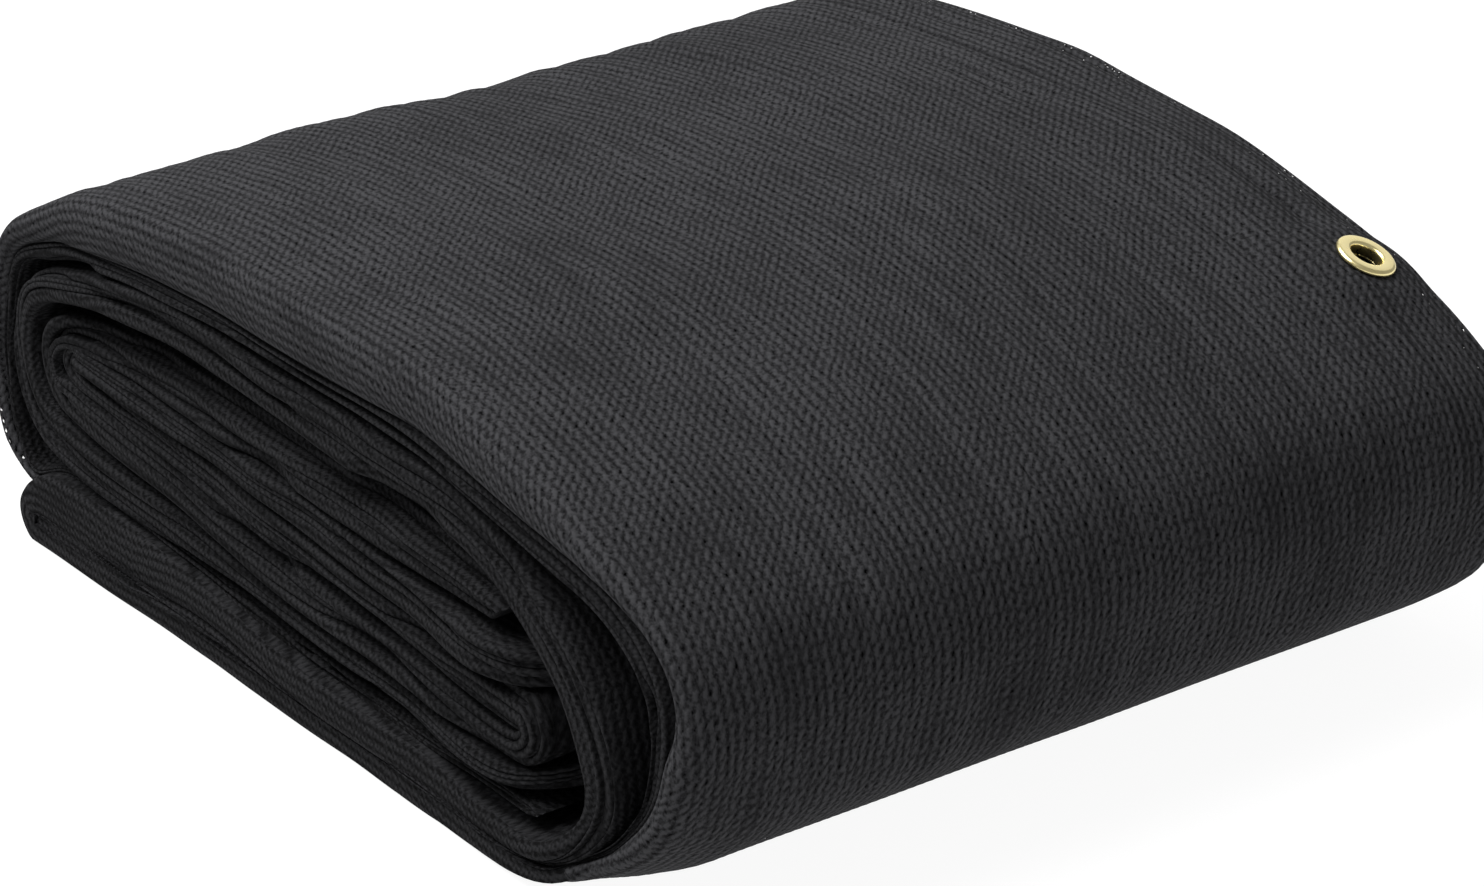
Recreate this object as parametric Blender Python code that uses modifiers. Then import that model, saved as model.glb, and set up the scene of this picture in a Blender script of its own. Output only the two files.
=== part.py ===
"""Container cargo net: a knitted net folded into a long strip of plies and wound into a flat bundle.

X runs along the wound ends, Y along the roll and +Z up; the origin is at the bottom centre.
Three pieces: the net's folded and wound body, the outer sheet's hem strip on top of it at the far
end, and the brass eyelet set in that strip.
"""
import math
from collections import namedtuple

import bmesh
import bpy
import numpy as np
from mathutils import Matrix, Vector

MM = 0.001

# The bundle, in metres
LENGTH = 0.388            # along the roll, end to end
GAP = 0.0003              # clearance between pieces that touch
CENTRE_X = 0.0048         # these two bring the middle of the bundle's box to x = 0, y = 0
CENTRE_Y = 0.0022
FLOOR_FLAT = 0.0012       # anything this low is pressed flat on the floor

# The strip of plies
LOBES = 3                 # bundles of plies that show at a wound end
LOBE_DEPTH = 0.0050       # how far the rounded ply edges stand out of their grooves, at most
LOBE_FORM = ((0.16, 0.3), (0.50, 0.0), (0.84, 0.3), (1.0, 1.0))   # parts of its width and its depth
LOOSE_ROUND = 0.0030      # how round the strip's two loose ends are in its width
EDGE_WANDER = 0.0012      # how far the ply edges wander along the strip, each way
STATION_LENGTH = 0.060    # one ring of the strip at least this often,
STATION_TURN = math.radians(30)   # and at least once in this much turning

# The hem strip and its eyelet
HEM_WIDTH = 0.046         # from the fold of the hem to its seam
HEM_THICKNESS = 0.0024
HEM_OVERHANG = 0.004      # how far the hem's fold passes the body's far end
HEM_LIFT = 0.0006         # room under the hem for the body's facets
HEM_LOW_RIGHT = 0.036     # the heights of its two ends
HEM_LOW_LEFT = 0.070
HEM_STEPS = 60            # along the wrap
HEM_COLUMNS = 9           # across it
EYELET_X = 0.1592
EYELET_INSET = 0.024      # from the hem's fold to the eyelet's centre
EYELET_OUTER_R = 0.012
EYELET_BORE_R = 0.00635
EYELET_WALL = 0.0008
FLANGE_HEIGHT = 0.0022    # the domed upper flange
WASHER_HEIGHT = 0.0010    # the lower flange
WASHER_R = 0.0108
SEAT_R = 0.0150           # the hem is flat this far around the eyelet's axis,
SEAT_BLEND = 0.0100       # and finds its own form over this much more
SEAT_LIFT = 0.0010
POCKET_R = 0.0150         # the hollow under the eyelet
POCKET_DEPTH = 0.0080
CUT_REACH = 0.0100        # how far the cutters pass the cloth they cut

# One row for each pass across the bundle and each fold between two passes, from the strip's inner
# end to its outer one, in millimetres. A pass has its middle height and its thickness at five even
# stations from left to right. A fold has guide points (x, z) on the strip's middle line, and its
# thickness at each. The insets are how far the strip's edges stand back from the bundle's ends, and
# wrap is 1 on the outer wrap, whose outer face carries the hem.
Pass = namedtuple("Pass", "name heading left right heights thicknesses near_inset far_inset wrap",
                  defaults=(0,))
Fold = namedtuple("Fold", "name points thicknesses near_inset far_inset wrap", defaults=(0,))
STRIP = (
    Pass("level_8", -1, -168, 119, (100, 103.5, 103.5, 100.5, 96.5), (10.5, 13, 14.5, 16.5, 12), 3, 6),
    Fold("left_core", ((-184.5, 95.5), (-189.5, 84), (-184.5, 73)), (10.5, 10.5, 11.5), 4, 5),
    Pass("level_5", 1, -168, 122, (68.5, 63.7, 53.2, 52, 50.5), (12.5, 18.5, 14.5, 14.5, 10.5), 2, 4),
    Fold("right_core", ((134.5, 53.5), (137, 59), (134.5, 64.7)), (10, 10, 11), 3, 8),
    Pass("level_6", -1, -160, 122, (79.5, 80.5, 71, 68.7, 67.5), (5.5, 7.5, 12.5, 12.5, 13), 4, 3),
    Fold("left_inner", ((-170.8, 81), (-172.8, 84.5), (-170.8, 88)), (5, 5, 5), 6, 6),
    Pass("level_7", 1, -160, 126, (89.5, 90.8, 86, 83, 82.5), (5.5, 7, 12, 11, 9.5), 2, 5),
    Fold("right_inner", ((144, 79.5), (154, 62), (147.5, 41.5)), (9.5, 9, 8), 24, 12),
    Pass("level_4", -1, -172, 128, (50, 43, 38.7, 37.5, 34.5), (14.5, 12, 7.5, 8, 8.5), 5, 4),
    Fold("left_middle", ((-196, 61), (-207, 84), (-197, 110)), (14, 14, 12.5), 3, 7),
    Pass("level_9", 1, -168, 92, (124.5, 129, 127.5, 127.5, 125), (12, 14.5, 16, 16, 16.5), 1, 3),
    Fold("right_middle", ((128, 112.5), (160, 88.5), (175.5, 53), (167.5, 31.5)),
         (17, 18, 18.5, 10.5), 0, 6),
    Pass("level_2", -1, -190, 146, (25.5, 22.8, 19.7, 18.7, 19), (16, 15, 11, 10, 7.5), -3, 2),
    Fold("left_tip", ((-202.8, 22.8), (-206, 16), (-202.8, 9.2)), (13, 11, 10), -3, 4),
    Pass("level_1", 1, -190, 150, (6.4, 6.2, 6.1, 6, 9.4), (12, 12.4, 12.2, 11.4, 5), -3.5, 3),
    Fold("right_outer", ((168, 18.5), (189, 33), (208, 55), (214.5, 84), (208, 105), (186, 122.5)),
         (6.5, 10, 16, 20, 20, 20), 2, 2, 1),
    Pass("level_10", -1, -160, 140, (147.9, 155.2, 156, 155, 142), (21, 24, 25, 25, 20), 0, 0, 1),
    Fold("left_outer", ((-192, 136), (-217, 118), (-227, 85), (-222.5, 54), (-208, 41)),
         (15, 12.5, 14, 11, 7), 2, 4, 1),
    Pass("level_3", 1, -186, 138, (38.6, 34, 30, 28.6, 26), (4.5, 3.5, 5.5, 5, 3.8), 8, 8),
)
FACE_ROWS = (-0.155, -0.040, 0.085)          # rows along Y on both faces of the strip
# and on the outer face where the hem lies: at its seam and across it
HEM_SEAM = LENGTH / 2 - HEM_WIDTH
HEM_ROWS = (HEM_SEAM - 0.003, HEM_SEAM, HEM_SEAM + 0.020)

# How the bundle settles away from the near end: the whole of it rises a little, its far right
# shoulder slumps, and its lower right side sags out between the two ends.
CROWN = 0.020
CROWN_Y = (-0.194, -0.140)
Ripple = namedtuple("Ripple", "share along across start")   # share of the height, radians a metre
RIPPLES = (Ripple(0.006, 31, 14, 0.0), Ripple(0.004, 52, -23, 1.1))
SLUMP = 0.070
SLUMP_X = (-0.045, 0.120)
SLUMP_Y = (0.145, 0.202)
SLUMP_Z = (0.0, 0.120)            # the lower plies stay where they are
SAG = 0.0070
SAG_WAY = (0.50, -0.87)           # x and z of the way it sags
SAG_REACH = (0.050, 0.072)        # where it starts and is full, measured along that way
SAG_NEAR_Y = (-0.196, -0.155)
SAG_FAR_Y = (0.160, 0.240)

COLLECTION = "container_cargo_net"
CLOTH_COLOUR = (0.028, 0.028, 0.030, 1.0)
BRASS_COLOUR = (0.79, 0.66, 0.36, 1.0)


def smooth_step(value, low, high):
    """0 below low, 1 above high, and smooth between them."""
    t = min(max((value - low) / (high - low), 0.0), 1.0)
    return t * t * (3.0 - 2.0 * t)


def settle(x, y, z):
    """Where a point of the straight bundle settles to, as a Vector; the floor stays where it is."""
    away = smooth_step(y, *CROWN_Y)
    ripple = sum(r.share * math.sin(r.along * y + r.across * x + r.start) for r in RIPPLES)
    slump = SLUMP * smooth_step(x, *SLUMP_X) * smooth_step(y, *SLUMP_Y) * smooth_step(z, *SLUMP_Z)
    sag = SAG * smooth_step(y, *SAG_NEAR_Y) * (1 - smooth_step(y, *SAG_FAR_Y))
    sag *= smooth_step(SAG_WAY[0] * x + SAG_WAY[1] * z, *SAG_REACH)
    height = z * (1 + away * (CROWN + ripple) - slump)
    return Vector((x + CENTRE_X + SAG_WAY[0] * sag, y + CENTRE_Y, height + SAG_WAY[1] * sag))


def guide_points():
    """The strip's guide points in order: x, z, thickness and the two insets in metres, and wrap."""
    rows = []
    for part in STRIP:
        if isinstance(part, Pass):
            xs = np.linspace(part.left, part.right, len(part.heights))
            points = list(zip(xs, part.heights, part.thicknesses))[::part.heading]
        else:
            points = [(x, z, t) for (x, z), t in zip(part.points, part.thicknesses)]
        rows += [(x, z, t, part.near_inset, part.far_inset, part.wrap) for x, z, t in points]
    return np.array(rows) * (MM, MM, MM, MM, MM, 1)


def smooth_line(guides, steps=16):
    """A centripetal Catmull-Rom curve through the guide points; all columns follow it."""
    ends = np.vstack([2 * guides[0] - guides[1], guides, 2 * guides[-1] - guides[-2]])
    knots = np.concatenate([[0], np.cumsum(np.sqrt(np.linalg.norm(np.diff(ends[:, :2], axis=0), axis=1)))])
    line = []
    for i in range(1, len(ends) - 2):
        p, k = ends[i - 1:i + 3], knots[i - 1:i + 3]
        for t in np.linspace(k[1], k[2], steps, endpoint=False):
            a = [((k[j + 1] - t) * p[j] + (t - k[j]) * p[j + 1]) / (k[j + 1] - k[j]) for j in range(3)]
            b = [((k[j + 2] - t) * a[j] + (t - k[j]) * a[j + 1]) / (k[j + 2] - k[j]) for j in range(2)]
            line.append(((k[2] - t) * b[0] + (t - k[1]) * b[1]) / (k[2] - k[1]))
    line.append(guides[-1])
    return np.array(line)


def line_normals(line):
    """Unit normals of the smooth line, to its right-hand side."""
    tangent = np.gradient(line[:, :2], axis=0)
    tangent /= np.linalg.norm(tangent, axis=1)[:, None]
    return np.stack([tangent[:, 1], -tangent[:, 0]], axis=1)


def stations(line):
    """Rings along the smooth line, closer where it turns: each is a row of the line, and its normal."""
    normal = line_normals(line)
    step = np.linalg.norm(np.diff(line[:, :2], axis=0), axis=1)
    turn = np.arccos(np.clip((normal[1:] * normal[:-1]).sum(axis=1), -1, 1))
    cost = np.concatenate([[0], np.cumsum(step / STATION_LENGTH + turn / STATION_TURN)])
    at = np.linspace(0, cost[-1], int(math.ceil(cost[-1])) + 1)
    return [np.array([np.interp(c, cost, column) for column in np.hstack([line, normal]).T]) for c in at]


def ply_edge(half, phase, loose):
    """The rounded ply edges of one end, from the outer face to the inner: offset and set-back.
    At a loose end of the strip they close to one plain round."""
    width = 2 * half / LOBES
    depth = min(0.75 * width, LOBE_DEPTH)
    wander = [EDGE_WANDER * (1 + math.sin(phase + 2.1 * lobe)) for lobe in range(LOBES)]
    points = [(half, 0.8 * depth + wander[0])]
    for lobe, back in enumerate(wander):
        top = half - lobe * width
        groove = max(wander[lobe:lobe + 2])
        points += [(top - u * width, (groove if u == 1 else back) + v * depth) for u, v in LOBE_FORM]
    if loose:
        points = [(u, LOOSE_ROUND * (u / half) ** 2) for u, back in points]
    return points


def hem_share(x, z, wrap):
    """1 where the hem lies on the outer wrap, and 0 beyond its two low ends."""
    low_end = HEM_LOW_RIGHT if x > 0 else HEM_LOW_LEFT
    return smooth_step(wrap, 0.5, 0.9) * smooth_step(z, low_end - 0.022, low_end - 0.006)


def ring(row, index, loose):
    """One closed ring of the strip around its middle line, as points of the settled bundle."""
    x, z, thickness, near_inset, far_inset, wrap, normal_x, normal_z = row
    half = thickness / 2
    near_y = -LENGTH / 2 + near_inset
    far_y = LENGTH / 2 - HEM_OVERHANG - max(far_inset, 0.0)
    recess = (HEM_THICKNESS + HEM_LIFT + GAP) * hem_share(x, z, wrap)
    outline = [(u, near_y + back) for u, back in ply_edge(half, 0.9 * index, loose)]
    outline += [(-half, y) for y in FACE_ROWS]
    far_edge = reversed(ply_edge(half - recess / 2, 1.7 * index + 2, loose))
    outline += [(u - recess / 2, far_y - back) for u, back in far_edge]
    outline += [(half - recess * (row_y > HEM_ROWS[0]), row_y) for row_y in reversed(HEM_ROWS)]
    outline += [(half, y) for y in reversed(FACE_ROWS)]
    points = [settle(x + u * normal_x, y, z + u * normal_z) for u, y in outline]
    for point in points:
        if point.z < FLOOR_FLAT:
            point.z = 0.0
    return points


def add_object(name, mesh, material, collection):
    """One named piece with its material, smooth where it is round."""
    obj = bpy.data.objects.new(name, mesh)
    mesh.materials.append(material)
    mesh.shade_smooth()
    mesh.set_sharp_from_angle(angle=math.radians(50))
    collection.objects.link(obj)
    return obj


def mesh_from_rings(name, rings, caps):
    """A closed mesh from closed rings of points; caps lists the faces that close an end ring."""
    bm = bmesh.new()
    grid = [[bm.verts.new(p) for p in points] for points in rings]
    count = len(grid[0])
    for a, b in zip(grid, grid[1:]):
        for j in range(count):
            k = (j + 1) % count
            bm.faces.new((a[j], a[k], b[k], b[j]))
    for end in (grid[0], grid[-1]):
        for indices in caps:
            bm.faces.new([end[i] for i in indices])
    many_sided = [face for face in bm.faces if len(face.verts) > 4]
    bmesh.ops.triangulate(bm, faces=many_sided, ngon_method="EAR_CLIP")
    bmesh.ops.recalc_face_normals(bm, faces=bm.faces)
    mesh = bpy.data.meshes.new(name)
    bm.to_mesh(mesh)
    bm.free()
    return mesh


def body_caps():
    """The faces of a loose end: its two rounded edges, and between them a ladder of the rows."""
    edge = 4 * LOBES + 1
    rows = len(FACE_ROWS)
    count = 2 * edge + 2 * rows + len(HEM_ROWS)
    far = range(edge + rows, 2 * edge + rows)
    inner = range(edge - 1, edge + rows)
    outer = [0, *range(count - 1, count - 1 - rows, -1)]
    ladder = [(inner[i], inner[i + 1], outer[i + 1], outer[i]) for i in range(rows)]
    shoulder = [inner[-1], far[0], *range(far[-1], outer[-1] + 1)]
    return [range(edge), far, shoulder, *ladder]


def make_body(line, material, collection):
    """The folded and wound strip of plies, one closed solid."""
    rows = stations(line)
    rings = [ring(row, index, index in (0, len(rows) - 1)) for index, row in enumerate(rows)]
    mesh = mesh_from_rings("net_body", rings, body_caps())
    return add_object("net_body", mesh, material, collection)


def hem_line(line):
    """The outer wrap's outer face, from its low right end over the top to the left: x, z, normal."""
    normal = line_normals(line)
    face = np.hstack([line[:, :2] + normal * line[:, 2:3] / 2, normal])
    low_end = np.where(line[:, 0] > 0, HEM_LOW_RIGHT, HEM_LOW_LEFT)
    return face[(line[:, 5] > 0.99) & (line[:, 1] > low_end)]


def hem_point(face, share, y, offset):
    """A point of the hem strip: share runs 0 to 1 along the face, offset is above its underside."""
    length = np.concatenate([[0], np.cumsum(np.linalg.norm(np.diff(face[:, :2], axis=0), axis=1))])
    x, z, nx, nz = (np.interp(share * length[-1], length, column) for column in face.T)
    out = offset - HEM_THICKNESS
    return settle(x + nx * out, y, z + nz * out)


def eyelet_seat(face):
    """The eyelet's seat: its centre on the hem's upper face and the unit normal there."""
    y = LENGTH / 2 - EYELET_INSET

    def on_hem(share, step=0.0):
        return hem_point(face, share, y + step, HEM_THICKNESS)

    share = min(np.linspace(0.25, 0.75, 400), key=lambda s: abs(on_hem(s).x - EYELET_X))
    along = on_hem(share - 0.02) - on_hem(share + 0.02)
    across = on_hem(share, 0.01) - on_hem(share, -0.01)
    normal = along.cross(across).normalized()
    return on_hem(share) + normal * SEAT_LIFT, normal


def seat_flat(point, centre, normal, depth):
    """Lays a point of the hem on the eyelet's seat plane, depth below its upper face."""
    height = (point - centre).dot(normal) + depth
    radius = ((point - centre) - normal * (point - centre).dot(normal)).length
    return point - normal * height * (1.0 - smooth_step(radius, SEAT_R, SEAT_R + SEAT_BLEND))


def cutter(name, centre, normal, radius, top, bottom, collection):
    """A cylinder on the eyelet's axis, from top to bottom along its normal."""
    bpy.ops.mesh.primitive_cylinder_add(vertices=32, radius=radius, depth=top - bottom)
    obj = bpy.context.object
    obj.name = name
    turn = Vector((0, 0, 1)).rotation_difference(normal).to_matrix().to_4x4()
    obj.matrix_world = Matrix.Translation(centre + normal * (top + bottom) / 2) @ turn
    for owner in list(obj.users_collection):
        owner.objects.unlink(obj)
    collection.objects.link(obj)
    obj.hide_render = True
    obj.display_type = "WIRE"
    return obj


def cut(obj, tool):
    modifier = obj.modifiers.new(tool.name, "BOOLEAN")
    modifier.operation = "DIFFERENCE"
    modifier.object = tool


def make_hem(face, seat, material, collection):
    """The hem strip along the far edge of the outer sheet: its fold rounded, its seam edge thin."""
    low, high = HEM_SEAM + GAP, LENGTH / 2
    rows = np.linspace(low, high - HEM_THICKNESS / 2, HEM_COLUMNS)
    rings = []
    for share in np.linspace(0.0, 1.0, HEM_STEPS + 1):
        upper = [hem_point(face, share, y, HEM_THICKNESS) for y in rows]
        under = [hem_point(face, share, y, 0.0) for y in reversed(rows)]
        fold = [hem_point(face, share, high, HEM_THICKNESS / 2)]
        upper = [seat_flat(p, *seat, 0.0) for p in upper]
        under = [seat_flat(p, *seat, HEM_THICKNESS) for p in under]
        fold = [seat_flat(p, *seat, HEM_THICKNESS / 2) for p in fold]
        rings.append(upper + fold + under)
    count = len(rows)
    caps = [(i, i + 1, 2 * count - 1 - i, 2 * count - i) for i in range(count - 1)]
    caps.append((count - 1, count, count + 1))
    mesh = mesh_from_rings("hem_strip", rings, caps)
    return add_object("hem_strip", mesh, material, collection)


def make_eyelet(seat, material, collection):
    """The brass eyelet, turned about its axis: domed flange above, barrel, washer below."""
    barrel_r = EYELET_BORE_R + EYELET_WALL
    low = -HEM_THICKNESS - GAP
    flat_in, flat_out = EYELET_BORE_R + 0.0016, EYELET_OUTER_R - 0.0018
    profile = [
        (flat_in, FLANGE_HEIGHT), (flat_out, FLANGE_HEIGHT),
        (EYELET_OUTER_R - 0.0006, 0.72 * FLANGE_HEIGHT), (EYELET_OUTER_R, 0.35 * FLANGE_HEIGHT),
        (EYELET_OUTER_R - 0.0002, GAP), (barrel_r, GAP), (barrel_r, low), (WASHER_R, low),
        (WASHER_R, low - WASHER_HEIGHT), (EYELET_BORE_R, low - WASHER_HEIGHT),
        (EYELET_BORE_R, 0.55 * FLANGE_HEIGHT), (EYELET_BORE_R + 0.0006, 0.86 * FLANGE_HEIGHT),
    ]
    mesh = bpy.data.meshes.new("eyelet")
    edges = [(i, (i + 1) % len(profile)) for i in range(len(profile))]
    mesh.from_pydata([(r, 0.0, z) for r, z in profile], edges, [])
    obj = add_object("eyelet", mesh, material, collection)
    screw = obj.modifiers.new("turn", "SCREW")
    screw.steps = screw.render_steps = 32
    screw.use_merge_vertices = True
    screw.merge_threshold = 0.00001
    centre, normal = seat
    turn = Vector((0, 0, 1)).rotation_difference(normal).to_matrix().to_4x4()
    obj.matrix_world = Matrix.Translation(centre) @ turn
    return obj


def make_material(name, colour, roughness, metallic):
    material = bpy.data.materials.new(name)
    material.use_nodes = True
    shader = material.node_tree.nodes["Principled BSDF"]
    shader.inputs["Base Color"].default_value = colour
    shader.inputs["Roughness"].default_value = roughness
    shader.inputs["Metallic"].default_value = metallic
    return material


def main():
    for obj in list(bpy.data.objects):
        bpy.data.objects.remove(obj)
    parts = bpy.data.collections.new(COLLECTION)
    cutters = bpy.data.collections.new("cutters")
    for collection in (parts, cutters):
        bpy.context.scene.collection.children.link(collection)
    cloth = make_material("net_cloth", CLOTH_COLOUR, 0.75, 0.0)
    brass = make_material("eyelet_brass", BRASS_COLOUR, 0.25, 1.0)

    line = smooth_line(guide_points())
    face = hem_line(line)
    seat = eyelet_seat(face)
    body = make_body(line, cloth, parts)
    hem = make_hem(face, seat, cloth, parts)
    make_eyelet(seat, brass, parts)
    hole_r = EYELET_BORE_R + EYELET_WALL + GAP
    cut(hem, cutter("hem_hole", *seat, hole_r, CUT_REACH, -CUT_REACH, cutters))
    cut(body, cutter("eyelet_pocket", *seat, POCKET_R, CUT_REACH, -POCKET_DEPTH, cutters))


main()
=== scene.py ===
# %% [markdown]
# # Container cargo net
# This lesson dresses a packed model of a large knitted net, the kind that is pulled over an open
# container. It is folded lengthwise into a strip of plies, and the strip is wound into a flat bundle.
# One brass eyelet shows in the hem. The packed solids give the size and the main form. The cells
# below build the cloth itself around the same strip: its plies, its outer sheet, its hem and eyelet.

import math
from collections import namedtuple

import bmesh
import bpy
import numpy as np
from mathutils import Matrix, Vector


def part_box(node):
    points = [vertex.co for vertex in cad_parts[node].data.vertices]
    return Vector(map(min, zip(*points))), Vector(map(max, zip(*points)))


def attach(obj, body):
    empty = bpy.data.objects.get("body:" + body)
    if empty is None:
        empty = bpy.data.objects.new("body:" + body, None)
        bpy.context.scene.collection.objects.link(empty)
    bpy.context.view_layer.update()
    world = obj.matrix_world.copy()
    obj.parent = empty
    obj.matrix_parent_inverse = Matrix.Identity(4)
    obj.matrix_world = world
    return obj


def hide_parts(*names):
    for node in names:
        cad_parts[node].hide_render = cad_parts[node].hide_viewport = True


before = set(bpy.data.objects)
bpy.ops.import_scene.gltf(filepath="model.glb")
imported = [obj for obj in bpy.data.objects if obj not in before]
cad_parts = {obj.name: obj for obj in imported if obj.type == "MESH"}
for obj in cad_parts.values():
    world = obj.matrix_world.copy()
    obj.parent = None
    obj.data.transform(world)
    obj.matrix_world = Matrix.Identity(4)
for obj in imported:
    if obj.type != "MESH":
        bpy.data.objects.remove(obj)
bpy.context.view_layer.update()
print("packed nodes:", sorted(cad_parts))

# %% [markdown]
# ## The strip's route
# On the real bundle one long strip of plies runs from inside the bundle to its outer wrap. It could
# be drawn as a curve by hand, or a cloth simulation could wind it. A table was chosen, with a row for
# each pass across the bundle and for each fold between two passes, because every pass can then be
# set on its own. The packed solids follow such a table too. This one has the same rows with finer
# values. Its lengths are millimetres, and it goes from the strip's inner end to its outer one.

# %% The strip's table
MM = 0.001
LENGTH = 0.388           # of the bundle along its roll, in metres
# Each row ends with how far its near and far ends stand in, whether it is in the outer wrap (1) or
# inside (0), its first fold's share of the thickness, and how far that fold is tucked in.
ENDS = "near_inset far_inset wrap roll tuck"
INSIDE = (0, 0.34, 0)    # the last three where a row doesn't give them
Pass = namedtuple("Pass", "name heading left right heights thicknesses " + ENDS, defaults=INSIDE)
Fold = namedtuple("Fold", "name points thicknesses " + ENDS, defaults=INSIDE)
STRIP = (
    Pass("level_8", -1, -168, 119, (97, 100, 100, 98, 96.5), (10, 14, 16.5, 15, 10), 1, 6, 0, 0.30, 7),
    Fold("left_core", ((-186, 92.5), (-193, 82), (-188, 70)), (12, 13, 14), 1.5, 5),
    Pass("level_5", 1, -168, 122, (66.5, 60.5, 52.5, 50, 45.5), (16, 16, 14, 12.5, 11), 0.5, 4, 0, 0.40),
    Fold("right_core", ((129, 47.5), (134, 54), (131, 60.5)), (12, 11.5, 12.5), 1, 8),
    Pass("level_6", -1, -165, 122, (80, 74.8, 68.5, 65, 61.5), (7.5, 9, 13, 9.5, 13), 1.5, 3),
    Fold("left_inner", ((-174, 80.5), (-177, 84), (-174, 88.5)), (7, 7, 7), 3, 6),
    Pass("level_7", 1, -165, 126, (89, 86.3, 84, 79, 77), (7.5, 8.5, 11, 13.5, 13), 0.5, 5, 0, 0.50),
    Fold("right_inner", ((144, 75), (152, 60), (147, 41.5)), (9.5, 9, 8), 24, 12),
    Pass("level_4", -1, -172, 128, (46, 42, 38.5, 37, 35), (15, 12.5, 7, 5.5, 6), 1.5, 4),
    Fold("left_middle", ((-200, 55), (-211, 80), (-205, 102)), (15, 14, 12.5), 1.5, 7, 0, 0.50),
    Pass("level_9", 1, -168, 92, (117.5, 127, 125.5, 123.5, 121), (10.5, 15, 15, 18, 17), 0, 3, 0, 0.45),
    Fold("right_middle", ((128, 108.5), (159, 86), (175.5, 53), (167.5, 31.5)),
         (17, 18, 18.5, 10.5), 0, 6, 0, 0.60),
    Pass("level_2", -1, -190, 146, (20.2, 20.4, 17.4, 17.2, 16.5), (21, 20.6, 13.6, 12.2, 8),
         -3.8, 2, 0, 0.91),
    Fold("left_tip", ((-201.5, 16.5), (-205.5, 11.5), (-202, 7)), (15, 13, 13), -4, 4, 0, 0.95),
    Pass("level_1", 1, -190, 150, (6.7, 6.4, 6.1, 6, 9.4), (13.2, 12.8, 12, 11.4, 5), -3.6, 3, 0, 0.95),
    Fold("right_outer", ((168, 18.5), (189, 33), (208, 55), (214.5, 84), (208, 105), (186, 122.5)),
         (6.5, 10, 16, 20, 20, 20), 2, 2, 1, 0.60),
    Pass("level_10", -1, -160, 140, (143.3, 152, 153.5, 152.5, 139.5), (26, 29, 30, 30, 25), 0, 0, 1, 0.84),
    Fold("left_outer", ((-195, 131), (-221.5, 117), (-233, 88), (-235, 60), (-229, 34), (-215, 21.5)),
         (21, 15, 14, 12, 9, 6), 2, 4, 1, 0.62),
    Pass("level_3", 1, -182, 138, (34.5, 32, 26.5, 25.5, 25.5), (4.5, 4, 4, 4, 3.8), 3, 8),
)
print("rows in the strip's table:", len(STRIP))

# %% [markdown]
# ## How the bundle settles
# A wound net isn't straight from end to end. Past its near end it stands a little higher and
# ripples, its far right corner slumps, and its lower right side sags outwards. A lattice modifier
# could bend it. One function of a point's place was chosen, with the solids' own values, so that
# plies, sheet and hem all move alike and nothing comes apart.

# %% A smooth step
def smooth_step(value, low, high):
    """0 below low, 1 above high, and smooth between them."""
    t = np.clip((value - low) / (high - low), 0.0, 1.0)
    return t * t * (3.0 - 2.0 * t)


print("the step's middle is", smooth_step(0.5, 0, 1))

# %% The settled form
CENTRE_X, CENTRE_Y = 0.0048, 0.0022
CROWN, CROWN_Y = 0.020, (-0.194, -0.140)
RIPPLES = ((0.006, 31, 14, 0.0), (0.004, 52, -23, 1.1))
SLUMP, SLUMP_X, SLUMP_Y, SLUMP_Z = 0.070, (-0.045, 0.120), (0.145, 0.202), (0.0, 0.120)
SAG, SAG_WAY, SAG_REACH = 0.0070, (0.50, -0.87), (0.050, 0.072)
SAG_NEAR_Y, SAG_FAR_Y = (-0.196, -0.155), (0.160, 0.240)


def settle(x, y, z):
    """Where points of the straight bundle settle to, as an array of positions."""
    away = smooth_step(y, *CROWN_Y)
    ripple = sum(share * np.sin(along * y + across * x + start) for share, along, across, start in RIPPLES)
    slump = SLUMP * smooth_step(x, *SLUMP_X) * smooth_step(y, *SLUMP_Y) * smooth_step(z, *SLUMP_Z)
    sag = SAG * smooth_step(y, *SAG_NEAR_Y) * (1 - smooth_step(y, *SAG_FAR_Y))
    sag = sag * smooth_step(SAG_WAY[0] * x + SAG_WAY[1] * z, *SAG_REACH)
    height = z * (1 + away * (CROWN + ripple) - slump)
    moved = (x + CENTRE_X + SAG_WAY[0] * sag, y + CENTRE_Y + 0 * x, height + SAG_WAY[1] * sag)
    return np.stack(moved, axis=-1)


print("the middle of the top settles to", settle(0.0, 0.0, 0.17).round(4))

# %% Seeded unevenness
LAYERS, CELLS = 16, 64
LATTICE = np.random.default_rng(7).uniform(-1, 1, (LAYERS, CELLS, CELLS))


def unevenness(x, y, layer):
    """Smooth random values from -1 to 1 with a lump every unit of x and y, the same on every run."""
    x, y = np.broadcast_arrays(np.asarray(x, float), np.asarray(y, float))
    ix, iy = np.floor(x).astype(int), np.floor(y).astype(int)
    fx, fy = x - ix, y - iy
    fx, fy = fx * fx * (3 - 2 * fx), fy * fy * (3 - 2 * fy)
    table = LATTICE[layer]
    left, right, low, high = ix % CELLS, (ix + 1) % CELLS, iy % CELLS, (iy + 1) % CELLS
    near = table[left, low] * (1 - fx) + table[right, low] * fx
    far = table[left, high] * (1 - fx) + table[right, high] * fx
    return near * (1 - fy) + far * fy


print("unevenness at the origin:", round(float(unevenness(0.5, 0.5, 0)), 3))

# %% [markdown]
# ## A smooth route through the table
# Cloth of many plies bends in one smooth line. A Bezier curve would need handles for every row. A
# Catmull-Rom curve was chosen, because it passes through every row of the table and needs nothing
# else. Stations are then set along it, closer where it turns, and each one will carry a ring.

# %% The strip's line
Station = namedtuple("Station", "x z thickness near far wrap roll tuck nx nz along")


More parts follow.
